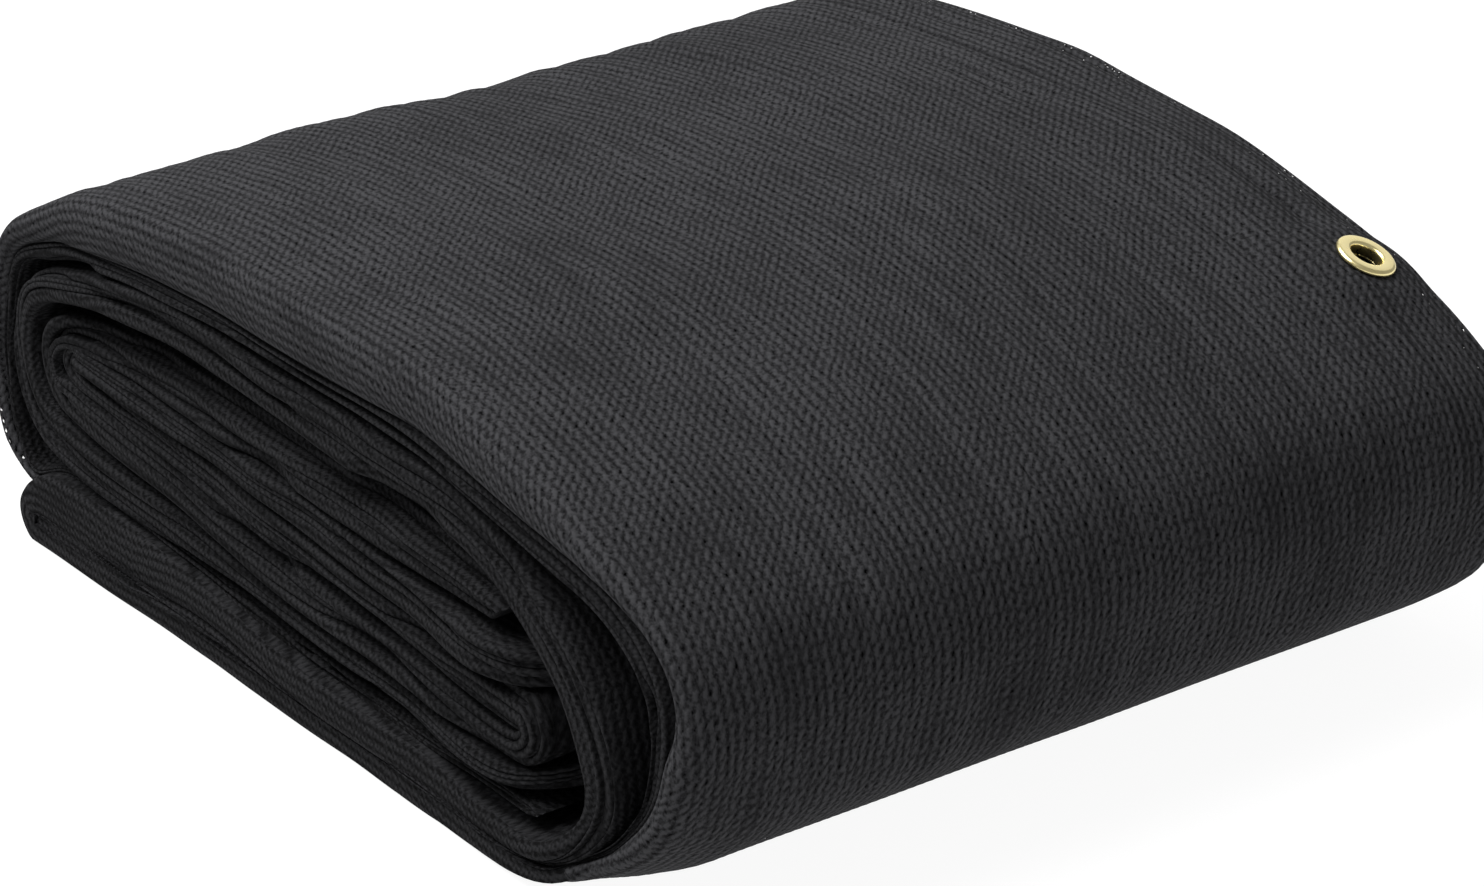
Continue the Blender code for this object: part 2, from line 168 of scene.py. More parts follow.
def guide_points():
    """The table's points in order, in metres."""
    rows = []
    for part in STRIP:
        if isinstance(part, Pass):
            xs = np.linspace(part.left, part.right, len(part.heights))
            points = list(zip(xs, part.heights, part.thicknesses))[::part.heading]
        else:
            points = [(x, z, t) for (x, z), t in zip(part.points, part.thicknesses)]
        ends = (part.near_inset, part.far_inset, part.wrap, part.roll, part.tuck)
        rows += [(x, z, t, *ends) for x, z, t in points]
    return np.array(rows) * (MM, MM, MM, MM, MM, 1, 1, MM)


def smooth_line(guides, steps=16):
    """A centripetal Catmull-Rom curve through the guide points."""
    ends = np.vstack([2 * guides[0] - guides[1], guides, 2 * guides[-1] - guides[-2]])
    knots = np.concatenate([[0], np.cumsum(np.sqrt(np.linalg.norm(np.diff(ends[:, :2], axis=0), axis=1)))])
    line = []
    for i in range(1, len(ends) - 2):
        p, k = ends[i - 1:i + 3], knots[i - 1:i + 3]
        for t in np.linspace(k[1], k[2], steps, endpoint=False):
            a = [((k[j + 1] - t) * p[j] + (t - k[j]) * p[j + 1]) / (k[j + 1] - k[j]) for j in range(3)]
            b = [((k[j + 2] - t) * a[j] + (t - k[j]) * a[j + 1]) / (k[j + 2] - k[j]) for j in range(2)]
            line.append(((k[2] - t) * b[0] + (t - k[1]) * b[1]) / (k[2] - k[1]))
    line.append(guides[-1])
    return np.array(line)


line = smooth_line(guide_points())
print("points on the strip's line:", len(line))


# %% Stations along the line
def stations(line, step, turn, low=0.0, high=99.0):
    """Stations along the line from low to high metres, one each step or each turn in radians."""
    tangent = np.gradient(line[:, :2], axis=0)
    tangent /= np.linalg.norm(tangent, axis=1)[:, None]
    normal = np.stack([tangent[:, 1], -tangent[:, 0]], axis=1)
    ways = np.linalg.norm(np.diff(line[:, :2], axis=0), axis=1)
    turns = np.arccos(np.clip((normal[1:] * normal[:-1]).sum(axis=1), -1, 1))
    along = np.concatenate([[0], np.cumsum(ways)])
    cost = np.concatenate([[0], np.cumsum(ways / step + turns / turn)])
    first, last = (np.interp(v, along, cost) for v in (low, min(high, along[-1])))
    at = np.linspace(first, last, int(math.ceil(last - first)) + 1)
    columns = np.hstack([line, normal, along[:, None]]).T
    values = [np.interp(at, cost, column)[:, None] for column in columns]
    return Station(*values)


PLY_STEP, PLY_TURN = 0.006, math.radians(12)
whole = stations(line, PLY_STEP, PLY_TURN)
print("strip:", round(float(whole.along[-1, 0]), 3), "m long,", len(whole.x), "stations")

# %% [markdown]
# ## Cloth coordinates
# The knit has ribs that run along the strip and stitches along each rib. There are far too many to
# model, and a pattern that is laid over the object would slide across its folds. So every mesh of
# cloth gets a UV map that counts them: U in stitches along the strip and V in ribs across it. The
# knit's material is then in true size everywhere, whatever the mesh does.

# %% A mesh from a grid of points
RIB = 0.0041             # metres from rib to rib
STITCH = 0.0042          # and from stitch to stitch


def cloth_mesh(name, points, u, v, closed):
    """A mesh from a grid of positions, with stitches and ribs as its UV map."""
    rows, columns = points.shape[:2]
    index = np.arange(rows * columns).reshape(rows, columns)
    wide = columns if closed else columns - 1
    left, right = index[:, :wide], np.roll(index, -1, axis=1)[:, :wide]
    quads = np.stack([left[:-1], left[1:], right[1:], right[:-1]], axis=-1).reshape(-1, 4)
    mesh = bpy.data.meshes.new(name)
    mesh.from_pydata(points.reshape(-1, 3).tolist(), [], quads.tolist())
    u = np.broadcast_to(u, (rows, columns))
    v_next = np.roll(v, -1, axis=1)
    if closed:
        v_next[:, -1] = v[:, -1] + (v[:, -1] - v[:, -2])
    corners = [(u[:-1, :wide], v[:-1, :wide]), (u[1:, :wide], v[1:, :wide]),
               (u[1:, :wide], v_next[1:, :wide]), (u[:-1, :wide], v_next[:-1, :wide])]
    uv = np.stack([np.stack(c, axis=-1) for c in corners], axis=2).reshape(-1, 2)
    layer = mesh.uv_layers.new(name="cloth")
    layer.data.foreach_set("uv", uv.astype(np.float32).ravel())
    mesh.shade_smooth()
    obj = bpy.data.objects.new(name, mesh)
    bpy.context.scene.collection.objects.link(obj)
    print(name, len(mesh.vertices), "points,", 2 * len(mesh.polygons), "triangles")
    return obj


def arc_lengths(u, y):
    """How far each point of each cross-section lies along it, in metres."""
    way = np.hypot(np.diff(u, axis=1), np.diff(y, axis=1))
    return np.hstack([np.zeros((len(u), 1)), np.cumsum(way, axis=1)])


# %% [markdown]
# ## How the outer sheet lies
# The sheet on top isn't flat: it swells and dips gently over the bundle, it is streaked along the
# ribs, and it has a few real wrinkles near its hem. They could be sculpted, or left to the material
# as bump, but bump doesn't show at the outline. They were made as moves of the surface along its own
# normal: a table holds the wrinkles, in millimetres, and the rest is smooth seeded noise that is
# longer along the ribs than across them.

# %% Swells, streaks and wrinkles
Wrinkle = namedtuple("Wrinkle", "start end y slant depth width")
WRINKLES = (
    Wrinkle(-65, 8, 134, 0.00, 1.3, 2.2), Wrinkle(-70, 10, 141, 0.02, 1.2, 2.0),
    Wrinkle(-40, 8, 148, 0.02, 1.0, 1.8), Wrinkle(-136, -96, 150, -0.02, 0.9, 2.2),
    Wrinkle(-130, -90, 139, 0.00, 0.7, 2.0), Wrinkle(-150, 20, 158, 0.01, 0.8, 1.8),
    Wrinkle(-140, -40, 174, 0.00, 0.6, 2.4), Wrinkle(60, 150, 166, 0.00, 1.0, 1.8),
    Wrinkle(20, 110, 30, 0.02, 0.6, 2.5), Wrinkle(25, 120, 37, 0.02, 0.5, 2.2),
    Wrinkle(-150, -120, -174, 0.10, 0.9, 3.0), Wrinkle(110, 200, 128, 0.00, 0.8, 2.4),
    Wrinkle(150, 205, 146, 0.00, 0.7, 2.0), Wrinkle(100, 190, 80, -0.10, 0.8, 4.0),
    Wrinkle(30, 90, -70, 0.15, 0.6, 4.0), Wrinkle(120, 190, -40, 0.25, 0.8, 5.0),
)


# Each move is its height and its lump's length along and across the ribs, in metres.
SWELLS = ((0.0008, 0.10, 0.13), (0.0004, 0.05, 0.06))
STREAKS = ((0.0008, 0.075, 0.011), (0.0004, 0.03, 0.0055))
SWELL_DOWN = 0.0004      # how far the swells lie low on the whole
SWELL_CALM = 0.6         # how much of them is gone at the near end,
CALM_Y = (0.165, 0.194)  # and over which stretch it goes
WRINKLE_ENDS = 0.7       # below 1, a wrinkle keeps its depth almost to its ends


def swell(along, y):
    """The broad rise and fall of the wrapped plies, in metres."""
    first, second = (high * unevenness(along / long, y / wide, layer)
                     for layer, (high, long, wide) in enumerate(SWELLS))
    return (first + second - SWELL_DOWN) * (1 - SWELL_CALM * smooth_step(-y, *CALM_Y))


def streaks(along, x, y, top):
    """The outer sheet's own unevenness: streaks along the ribs, and the wrinkles on the top."""
    first, second = (high * unevenness(along / long, y / wide, layer + 2)
                     for layer, (high, long, wide) in enumerate(STREAKS))
    lift = first + second
    for w in WRINKLES:
        middle, half = (w.start + w.end) / 2 * MM, (w.end - w.start) / 2 * MM
        centre = w.y * MM + w.slant * (x - middle)
        reach = np.clip(1 - ((x - middle) / half) ** 2, 0, 1) ** WRINKLE_ENDS
        lift = lift - w.depth * MM * reach * top * np.exp(-(((y - centre) / (w.width * MM)) ** 2))
    return lift


print("wrinkles in the outer sheet:", len(WRINKLES))

# %% [markdown]
# ## The plies at a wound end
# Where the strip's edges show, its plies turn back in round folds. Each ply could be a mesh of its
# own, but nearly all of that cloth would be hidden. Only the plies' ends show, so one closed
# cross-section was chosen for the whole strip: the near folds, the inner face, the far folds and the
# outer face. Each fold is a rounded lobe, and its width, its set-back and the crease beside it
# wander along the strip, so that no two passes look alike.

# %% The folds' shares
NEAR_LOBES, FAR_LOBES = 4, 3
WIDEST = 0.96            # the most that the first fold may take
# How far a share strays, and the length of a lump along the strip in metres
ROLL_STRAY, SLOW_STRAY, QUICK_STRAY = (0.30, 0.11), (0.6, 0.12), (0.35, 0.034)


def lobe_shares(st, layer, lobes):
    """The lobes' shares of the thickness: the first one is the outer roll."""
    roll = ROLL_STRAY[0] * unevenness(st.along / ROLL_STRAY[1], layer, 4)
    first = np.minimum(st.roll * (1 + roll), WIDEST)
    weights = []
    for fold in range(layer + 1, layer + lobes):
        slow = SLOW_STRAY[0] * unevenness(st.along / SLOW_STRAY[1], fold, 5)
        quick = QUICK_STRAY[0] * unevenness(st.along / QUICK_STRAY[1], fold, 10)
        weights.append(1 + slow + quick)
    return [first] + [(1 - first) * weight / sum(weights) for weight in weights]


print("the first fold at the outer end takes", lobe_shares(whole, 0, NEAR_LOBES)[0][-1].round(3))

# %% The folds' set-backs
SLOW_BACK, SLOW_OVER = 0.0012, 0.13       # how far, and over what length of strip
QUICK_BACK, QUICK_OVER = 0.0012, 0.035
QUICK_CALM = 0.0007                       # how much less far in the outer wrap
TUCKED_BACK, TUCKED_OVER, TUCKED_FROM = 0.0045, 0.08, (0.45, 0.9)
ONE_ROLL = 0.9           # a pass that is all one roll has no tucked folds


def set_back(st, lobe, layer):
    """How far a lobe's fold stands back from the bundle's end."""
    slow = SLOW_BACK * (1 + unevenness(st.along / SLOW_OVER, 3 * lobe + layer, 6))
    quick = (QUICK_BACK - QUICK_CALM * st.wrap) * unevenness(st.along / QUICK_OVER, 3 * lobe + layer, 7)
    tucks = unevenness(st.along / TUCKED_OVER, 5 * lobe + layer, 8)
    tucked = TUCKED_BACK * smooth_step(tucks, *TUCKED_FROM)
    return slow + quick + tucked * (st.roll < ONE_ROLL) + st.tuck * (lobe == 0)


print("the first fold stands back up to", set_back(whole, 0, 0).max().round(4), "m")

# %% The rounds of one end
LOBE_POINTS = 9
SQUARENESS, INNER_SQUARENESS = 0.75, 0.45   # how full a round is, in the outer wrap and inside
SHOULDER = 0.0090        # how far the rounds of the outer wrap reach in
INNER_SHOULDER = 0.0044  # the same for the passes inside the bundle
CREASE = 0.0042          # how deep the creases between its plies are
CREASE_OPEN, CREASE_STRAY = 0.95, (0.80, 0.12)   # the share of that, and how far and over what it strays
CREASE_MOST = 0.7        # the deepest one, as a share of its fold's width
ROUND_MOST = 1.5         # the deepest round, as a share of half the thickness
EDGE_GAP = 0.0016        # how far the plies lie under the outer sheet


def lobe_curve(top, width, back, first_depth, last_depth, square):
    """One rounded fold, from the outer side to the inner: offsets and set-backs."""
    angle = np.linspace(0, math.pi, LOBE_POINTS)[None, :]
    u = top - width * (1 - np.cos(angle)) / 2
    side = np.where(angle < math.pi / 2, first_depth, last_depth)
    return u, back + side * (1 - np.sin(angle) ** square)


def edge(st, half, layer, lobes):
    """All the folds of one end: offsets u and set-backs from the outer face to the inner."""
    top, pieces = half - EDGE_GAP * st.wrap, []
    shares = lobe_shares(st, layer, lobes)
    inner = INNER_SHOULDER * (1.4 - st.roll)
    shoulder = np.minimum(ROUND_MOST * half, inner + (SHOULDER - inner) * st.wrap)
    square = INNER_SQUARENESS + (SQUARENESS - INNER_SQUARENESS) * st.wrap
    for lobe, share in enumerate(shares):
        width = share * 2 * half
        stray = CREASE_STRAY[0] * unevenness(st.along / CREASE_STRAY[1], lobe + layer, 9)
        crease = np.minimum(CREASE_MOST * width, CREASE * (CREASE_OPEN + stray))
        first = shoulder if lobe == 0 else crease
        last = shoulder if lobe == len(shares) - 1 else crease
        u, back = lobe_curve(top, width, set_back(st, lobe, layer), first, last, square)
        pieces.append((u, back))
        top = top - width
    return np.hstack([u for u, _ in pieces]), np.hstack([b for _, b in pieces])


print("points around the near folds:", NEAR_LOBES * LOBE_POINTS)

# %% The strip's loose ends
END_ROUND = 0.006        # metres along the strip in which an end closes
END_LEAST = 0.0009       # the square of what is left of its thickness


def loose_end(st):
    """1 along the strip, falling to 0 in a round at its two loose ends."""
    total = st.along[-1, 0]
    near = np.clip(np.minimum(st.along, total - st.along) / END_ROUND, 0, 1)
    return np.sqrt(np.clip(1 - (1 - near) ** 2, END_LEAST, 1))


print("thickness left at the very end:", loose_end(whole)[0].round(3))

# %% Room for the eyelet
# The middle of the eyelet's seat and the way it faces, as in the solids
SEAT = np.array((0.15928, 0.17240, 0.14834))
SEAT_NORMAL = np.array((0.33418, 0.19956, 0.92114))
SEAT_BELOW = -0.02       # metres from the seat's plane down to what isn't touched
PRESSED = 0.0052         # how far below it the plies lie
PRESSED_R = (0.011, 0.024)


def from_seat(points):
    """How high points lie over the seat's plane, and how far from its axis."""
    way = points - SEAT
    height = way @ SEAT_NORMAL
    return height, np.linalg.norm(way - height[..., None] * SEAT_NORMAL, axis=-1)


def pressed(points, depth):
    """The plies under the eyelet are pressed down, so that its barrel has room."""
    height, aside = from_seat(points)
    share = (1 - smooth_step(aside, *PRESSED_R)) * (height > SEAT_BELOW)
    return points - (np.maximum(height + depth, 0) * share)[..., None] * SEAT_NORMAL


print("the seat is", round(float(SEAT[2]), 4), "m up")

# %% The plies' mesh
PLY_RELIEF = 0.00012     # how far a rib stands out of a folded ply
RELIEF_FROM = 0.172      # from this far out, where the plies show
PUFF = 0.12              # how much the plies inside the bundle spread
FACE_Y = np.linspace(-0.165, 0.165, 26)
ALIKE = 3                # the hidden inner face has one in so many of the outer one's rows
FAR_LAYER = 20           # the far folds' own noise
FAR_IN = 0.004           # how far they stand in from the hem
PLY_FLOOR = 0.0005       # how high over the floor the lowest ply stays
WRAPPED = (0.3, 0.8)     # where a fold changes from the inside to the outer wrap


def strip_points(st):
    """The strip's rings around its line: positions, and ribs counted from the near folds."""
    half = st.thickness / 2 * loose_end(st) * (1 + PUFF * (1 - st.wrap))
    near_u, near_back = edge(st, half, 0, NEAR_LOBES)
    far_u, far_back = edge(st, half, FAR_LAYER, FAR_LOBES)
    near_y = -LENGTH / 2 + EDGE_GAP * st.wrap + st.near + near_back
    far_y = LENGTH / 2 - FAR_IN - np.maximum(st.far, 0) - far_back
    inner = np.broadcast_to(FACE_Y[None, ::ALIKE], (len(half), len(FACE_Y[::ALIKE])))
    outer = np.broadcast_to(FACE_Y[None, ::-1], (len(half), len(FACE_Y)))
    under = EDGE_GAP * smooth_step(st.wrap, *WRAPPED)
    outer_u = half - under + swell(st.along, outer) * st.wrap
    u = np.hstack([near_u, -half + 0 * inner, far_u[:, ::-1], outer_u])
    y = np.hstack([near_y, inner, far_y[:, ::-1], outer])
    distance = arc_lengths(u, y)
    middle = distance[:, LOBE_POINTS + LOBE_POINTS // 2][:, None]
    du, dy = np.gradient(u, axis=1), np.gradient(y, axis=1)
    size = np.maximum(np.hypot(du, dy), 1e-9)
    relief = PLY_RELIEF * np.cos(2 * math.pi * (distance - middle) / RIB) * (np.abs(y) > RELIEF_FROM)
    u, y = u + relief * dy / size, y - relief * du / size
    points = settle(st.x + u * st.nx, y, st.z + u * st.nz)
    points[..., 2] = np.maximum(points[..., 2], PLY_FLOOR)
    return pressed(points, PRESSED), (distance - middle) / RIB


coil_points, coil_ribs = strip_points(whole)
net_plies = cloth_mesh("net_plies", coil_points, whole.along / STITCH, coil_ribs, closed=True)

# %% [markdown]
# ## The outer sheet
# The last ply of the outer wrap is the sheet that everyone sees. It starts at the hem on the far
# side, crosses the bundle and rolls over the near edge into a groove between the plies. It could be
# a copy of the plies' outer face, but that face is coarse. A mesh of its own was chosen, whose
# columns follow the ribs, four to a rib, so that each rib is real relief. It lies a little over the
# plies, so that light comes through its holes at the outline, as on the real net. Around the eyelet
# it lies flat on the seat, and a hole is left for the barrel.

# %% The sheet's cross-section
RIB_COLUMNS = 4
SHEET_STEP = RIB / RIB_COLUMNS
SHEET_WIDE = 0.408
SHEET_COLUMNS = int(SHEET_WIDE / SHEET_STEP)
SHEET_RISE = 0.0002      # how far the outer sheet stands over its solid
HEM_DROP = 0.0030        # how far the hem's edge bends down past the plies,
DROP_OVER = (0.015, 0.002)   # and from how far before its edge to how far past it
EDGE_Y = LENGTH / 2 - 0.0008
ROLL_OUT = 0.4           # how far the roll stands out over the plies' one, in edge gaps
ROLL_IN = 0.7            # the roll's lower half reaches in less far, by this share
ROLL_POINTS, FACE_POINTS = 40, 160


def hem_drop(y):
    """How far the sheet bends down at its folded edge."""
    return HEM_DROP * smooth_step(y, EDGE_Y - DROP_OVER[0], EDGE_Y + DROP_OVER[1])


def sheet_section(st, i, columns):
    """Station i's cross-section at even distances along the cloth, from the hem to the groove."""
    half = st.thickness[i, 0] / 2
    width = lobe_shares(st, 0, NEAR_LOBES)[0][i, 0] * 2 * half + EDGE_GAP
    back = set_back(st, 0, 0)[i, 0] - ROLL_OUT * EDGE_GAP
    depth = min(ROUND_MOST * half, SHOULDER)
    near = -LENGTH / 2 + max(st.near[i, 0], 0) + back
    angle = np.linspace(0, math.pi, ROLL_POINTS)
    roll_u = half + SHEET_RISE - width * (1 - np.cos(angle)) / 2
    reach = np.where(angle < math.pi / 2, depth, ROLL_IN * depth)
    roll_y = near + reach * (1 - np.sin(angle) ** SQUARENESS)
    face_y = np.linspace(EDGE_Y, near + depth, FACE_POINTS)[:-1]
    u = np.concatenate([half + SHEET_RISE - hem_drop(face_y), roll_u])
    y = np.concatenate([face_y, roll_y])
    way = np.concatenate([[0], np.cumsum(np.hypot(np.diff(u), np.diff(y)))])
    at = np.minimum(np.arange(columns) * SHEET_STEP, way[-1])
    return np.interp(at, way, u), np.interp(at, way, y)


print("columns across the sheet:", SHEET_COLUMNS)

# %% The sheet's lift and its seat
SEAT_GAP = 0.0003        # how far the sheet lies under the eyelet's flange
FLAT_R = (0.0135, 0.032)
TOP_FACING, UNDER_FACING = (0.2, 0.6), (0.3, 0.8)   # how far up, or down, the strip's face looks
ROLL_CALM = (0.004, 0.016)   # the lift grows this far in from the near end


def sheet_lift(st, x, y):
    """The sheet's swells and streaks, without its ribs."""
    top = smooth_step(st.nz, *TOP_FACING)
    face = smooth_step(y, -LENGTH / 2 + ROLL_CALM[0], -LENGTH / 2 + ROLL_CALM[1])
    shown = 1 - smooth_step(-st.nz, *UNDER_FACING)
    return (swell(st.along, y) + streaks(st.along, x, y, top) * shown) * face


def seat_flat(points, depth):
    """Lays the cloth around the eyelet on its seat, depth below the seat's plane."""
    height, aside = from_seat(points)
    share = (1 - smooth_step(aside, *FLAT_R)) * (height > SEAT_BELOW)
    return points - ((height + depth) * share)[..., None] * SEAT_NORMAL


print("the cloth is flat", FLAT_R[0], "m around the eyelet's axis")

# %% The sheet's points
RIB_RELIEF = 0.00008     # how far a rib stands out of the sheet


def sheet_points(st, columns):
    """The sheet's positions, and its ribs counted from the hem."""
    sections = [sheet_section(st, i, columns) for i in range(len(st.x))]
    u = np.array([section[0] for section in sections])
    y = np.array([section[1] for section in sections])
    ribs = np.arange(columns)[None, :] / RIB_COLUMNS
    lift = sheet_lift(st, st.x + u * st.nx, y) + RIB_RELIEF * np.cos(2 * math.pi * ribs)
    du, dy = np.gradient(u, axis=1), np.gradient(y, axis=1)
    size = np.maximum(np.hypot(du, dy), 1e-9)
    u, y = u - lift * dy / size, y + lift * du / size
    points = settle(st.x + u * st.nx, y, st.z + u * st.nz)
    points[..., 2] = np.maximum(points[..., 2], 0.0)
    return seat_flat(points, SEAT_GAP), np.broadcast_to(ribs, u.shape).copy()


half_up = whole.thickness / 2
face_line = settle(whole.x + whole.nx * half_up, SEAT[1] - CENTRE_Y, whole.z + whole.nz * half_up)
near_seat = whole.along[np.argmin(np.linalg.norm(face_line[:, 0, :] - SEAT, axis=1)), 0]
print("the eyelet is", round(float(near_seat), 3), "m along the strip")

# %% The sheet's mesh
START, END = 2.44, 3.66  # metres along the strip from where it shows, under the bundle, to its end
SHEET_LONG, SHEET_TURN = 0.0078, math.radians(10)
SEAT_LONG, SEAT_TURN = 0.0030, math.radians(8)   # under the eyelet, where the sheet bends most
SEAT_REACH = 0.03


def joined(*parts):
    """Runs of stations as one run, without the doubled ones."""
    runs = [parts[0]] + [Station(*(column[1:] for column in part)) for part in parts[1:]]
    return Station(*(np.concatenate(columns) for columns in zip(*runs)))


before, after = near_seat - SEAT_REACH, near_seat + SEAT_REACH
outer = joined(stations(line, SHEET_LONG, SHEET_TURN, START, before),
               stations(line, SEAT_LONG, SEAT_TURN, before, after),
               stations(line, SHEET_LONG, SHEET_TURN, after, END))
skin_points, skin_ribs = sheet_points(outer, SHEET_COLUMNS)
net_sheet = cloth_mesh("net_sheet", skin_points, outer.along / STITCH, skin_ribs, closed=False)

# %% The hole for the eyelet
HOLE_R, HOLE_DEPTH = 0.0092, 0.006


def cut_for_eyelet(obj):
    """Takes out the faces under the eyelet's flange, around its barrel."""
    mesh = obj.data
    spot, facing = Vector(SEAT), Vector(SEAT_NORMAL)
    bm = bmesh.new()
    bm.from_mesh(mesh)
    gone = []
    for face in bm.faces:
        way = face.calc_center_median() - spot
        height = way.dot(facing)
        if abs(height) < HOLE_DEPTH and (way - facing * height).length < HOLE_R:
            gone.append(face)
    bmesh.ops.delete(bm, geom=gone, context="FACES")
    bm.to_mesh(mesh)
    bm.free()
    print(obj.name, "lost", len(gone), "faces under the eyelet")


cut_for_eyelet(net_sheet)

# %% [markdown]
# ## The hem
# The net's edge is folded under and sewn down. A solidify modifier would give the sheet thickness
# everywhere, where only its edge has two plies. So the turned-under ply is a strip of its own. It
# begins exactly where the sheet ends, turns round the edge and runs back a millimetre under the
# sheet. At the outline both plies are thin, and here and there light shows through a hole of each.

# %% The hem's turned-under ply
HEM_TURN = 0.0006        # radius of the fold
HEM_WIDE = 0.036
HEM_COLUMNS = 3          # to a rib
TURN_POINTS = 7


def hem_points(st):
    """The turned-under ply's positions, and its ribs counted back from the folded edge."""
    half = st.thickness / 2
    back_y = EDGE_Y - np.arange(0, HEM_WIDE, RIB / HEM_COLUMNS)[None, :]
    edge_u = half + SHEET_RISE - hem_drop(EDGE_Y)
    angle = np.linspace(0, math.pi, TURN_POINTS)[None, :-1]
    turn_u = edge_u - HEM_TURN * (1 - np.cos(angle))
    turn_y = EDGE_Y + HEM_TURN * np.sin(angle) + 0 * half
    under_u = half + SHEET_RISE - hem_drop(back_y) - 2 * HEM_TURN
    u = np.hstack([turn_u, under_u])
    y = np.hstack([turn_y, back_y + 0 * half])
    ribs = -arc_lengths(u, y) / RIB
    lift = sheet_lift(st, st.x + u * st.nx, y)
    u = u + lift
    points = settle(st.x + u * st.nx, y, st.z + u * st.nz)
    points[..., 2] = np.maximum(points[..., 2], 0.0)
    return seat_flat(points, SEAT_GAP + 2 * HEM_TURN), ribs


fold_points, fold_ribs = hem_points(outer)
fold_points[:, 0] = skin_points[:, 0]
net_hem = cloth_mesh("net_hem", fold_points, outer.along / STITCH, fold_ribs, closed=False)
cut_for_eyelet(net_hem)

# %% [markdown]
# ## Materials in short words
# A material is a small sum of masks. Its nodes could be placed and linked one by one, which is long
# to read. The class below wraps one socket instead, so that shader maths reads as plain Python:
# `1 - mask` or `a * b + c` adds the Math nodes for it. Every other node comes from the one method
# `node`, which sets the node up and then fills its sockets.

# %% Shader maths
class Wire:
    """One output socket. Sums of wires and numbers add Math nodes."""

    def __init__(self, tree, socket):
        self.tree, self.socket = tree, socket

    def maths(self, operation, *others, clamp=False):
        return self.tree.node("ShaderNodeMath", {"operation": operation, "use_clamp": clamp},
                              {i: v for i, v in enumerate((self, *others))})

    def __add__(self, other):
        return self.maths("ADD", other)

    def __radd__(self, other):
        return self.maths("ADD", other)

    def __sub__(self, other):
        return self.maths("SUBTRACT", other)

    def __rsub__(self, other):
        return self.tree.node("ShaderNodeMath", {"operation": "SUBTRACT"}, {0: other, 1: self})

    def __mul__(self, other):
        return self.maths("MULTIPLY", other)

    def __rmul__(self, other):
        return self.maths("MULTIPLY", other)

    def step(self, low, high):
        """A smooth mask: 0 below low and 1 above high, or the other way round."""
        return self.tree.node("ShaderNodeMapRange", {"interpolation_type": "SMOOTHSTEP"},
                              {"Value": self, "From Min": low, "From Max": high})


print("a wire's own operations:", sorted(name for name in vars(Wire) if not name.startswith("__")))


# %% A material and its nodes
class Shader:
    """A material's nodes, and the one way to add to them."""

    def __init__(self, name):
        self.material = bpy.data.materials.new(name)
        self.material.use_nodes = True
        self.nodes = self.material.node_tree.nodes
        self.links = self.material.node_tree.links
        self.surface = self.nodes["Principled BSDF"]

    def node(self, kind, settings=None, sockets=None, output=0):
        made = self.nodes.new(kind)
        for key, value in (settings or {}).items():
            setattr(made, key, value)
        for key, value in (sockets or {}).items():
            self.fill(made.inputs[key], value)
        return Wire(self, made.outputs[output])

    def fill(self, socket, value):
        if isinstance(value, Wire):
            self.links.new(value.socket, socket)
        else:
            socket.default_value = value

    def set(self, **sockets):
        for key, value in sockets.items():
            self.fill(self.surface.inputs[key.replace("_", " ")], value)

    def blend(self, mask, first, second):
        """One colour where the mask is 0 and the other where it is 1."""
        mixed = self.node("ShaderNodeMix", {"data_type": "RGBA"}, {"Factor": mask})
        made = mixed.socket.node
        self.fill(made.inputs["A"], first)
        self.fill(made.inputs["B"], second)
        return Wire(self, made.outputs["Result"])

    def noise(self, place, scale, detail=2.0, rough=0.5):
        return self.node("ShaderNodeTexNoise", {}, {"Vector": place, "Scale": scale, "Detail": detail,
                                                    "Roughness": rough})

    def bump(self, height, strength, distance):
        return self.node("ShaderNodeBump", {}, {"Height": height, "Strength": strength,
                                                "Distance": distance})


print("a shader's own methods:", sorted(name for name in vars(Shader) if not name.startswith("__")))

# %% [markdown]
# ## The knit
# The net is knitted from black plastic monofilament. Chains of stitches make the ribs, and yarns
# laid across on a slant from rib to rib leave small holes between them. A flat image could be tiled
# over it, but it would repeat and blur close by. The material is worked out instead from the stitch
# and rib numbers in the UV map: a rounded rib, a chain of little loops on it, the slanted yarns, and
# holes where the yarn is thin. Slow noise moves the stitches and lightens some stretches of yarn,
# as on a net that has been handled, and its broad patches and long streaks are also painted shade
# of soft folds. In the outer sheet the holes are cut with alpha, so that the plies below show
# through, and in the plies they are painted dark, as painted shade of the plies below. The plies'
# copy of the knit also has darker greys than the sheet's, as painted shade on the wound ends.

# %% The knit's masks
TURN = 2 * math.pi
Masks = namedtuple("Masks", "rib_at stitch_at chain patch slant loops grain fibre")


def knit_masks(s, cloth):
    """Where the yarns lie. Each mask goes from 0 to 1: on a rib's chain, where ribs show more, on a
    slanted yarn and on a chain's loops. The grain and the fibre are finer than a stitch."""
    parts = s.node("ShaderNodeSeparateXYZ", {}, {"Vector": cloth}).socket.node
    stitch_drift = s.noise(cloth, 0.20, 2.0)
    rib_drift = s.node("ShaderNodeTexNoise", {"noise_dimensions": "4D"},
                       {"Vector": cloth, "W": 3.7, "Scale": 0.30, "Detail": 1.0})
    rib_at, stitch_at = Wire(s, parts.outputs["Y"]), Wire(s, parts.outputs["X"])
    stitch = stitch_at + (stitch_drift - 0.5) * 0.9
    rib = rib_at + (rib_drift - 0.5) * 0.45
    chain = (rib * TURN).maths("COSINE") * 0.5 + 0.5
    patch = s.noise(cloth, 0.11, 1.0).step(0.35, 0.65)
    slant = ((stitch + rib) * TURN).maths("COSINE") * 0.5 + 0.5
    loops = ((stitch * 2 - rib) * TURN).maths("SINE") * 0.5 + 0.5
    grain = s.noise(cloth, 2.6, 3.0, 0.65)
    fibre = s.noise(cloth, 9.0, 2.0)
    return Masks(rib_at, stitch_at, chain, patch, slant, loops, grain, fibre)


print("masks:", *Masks._fields)

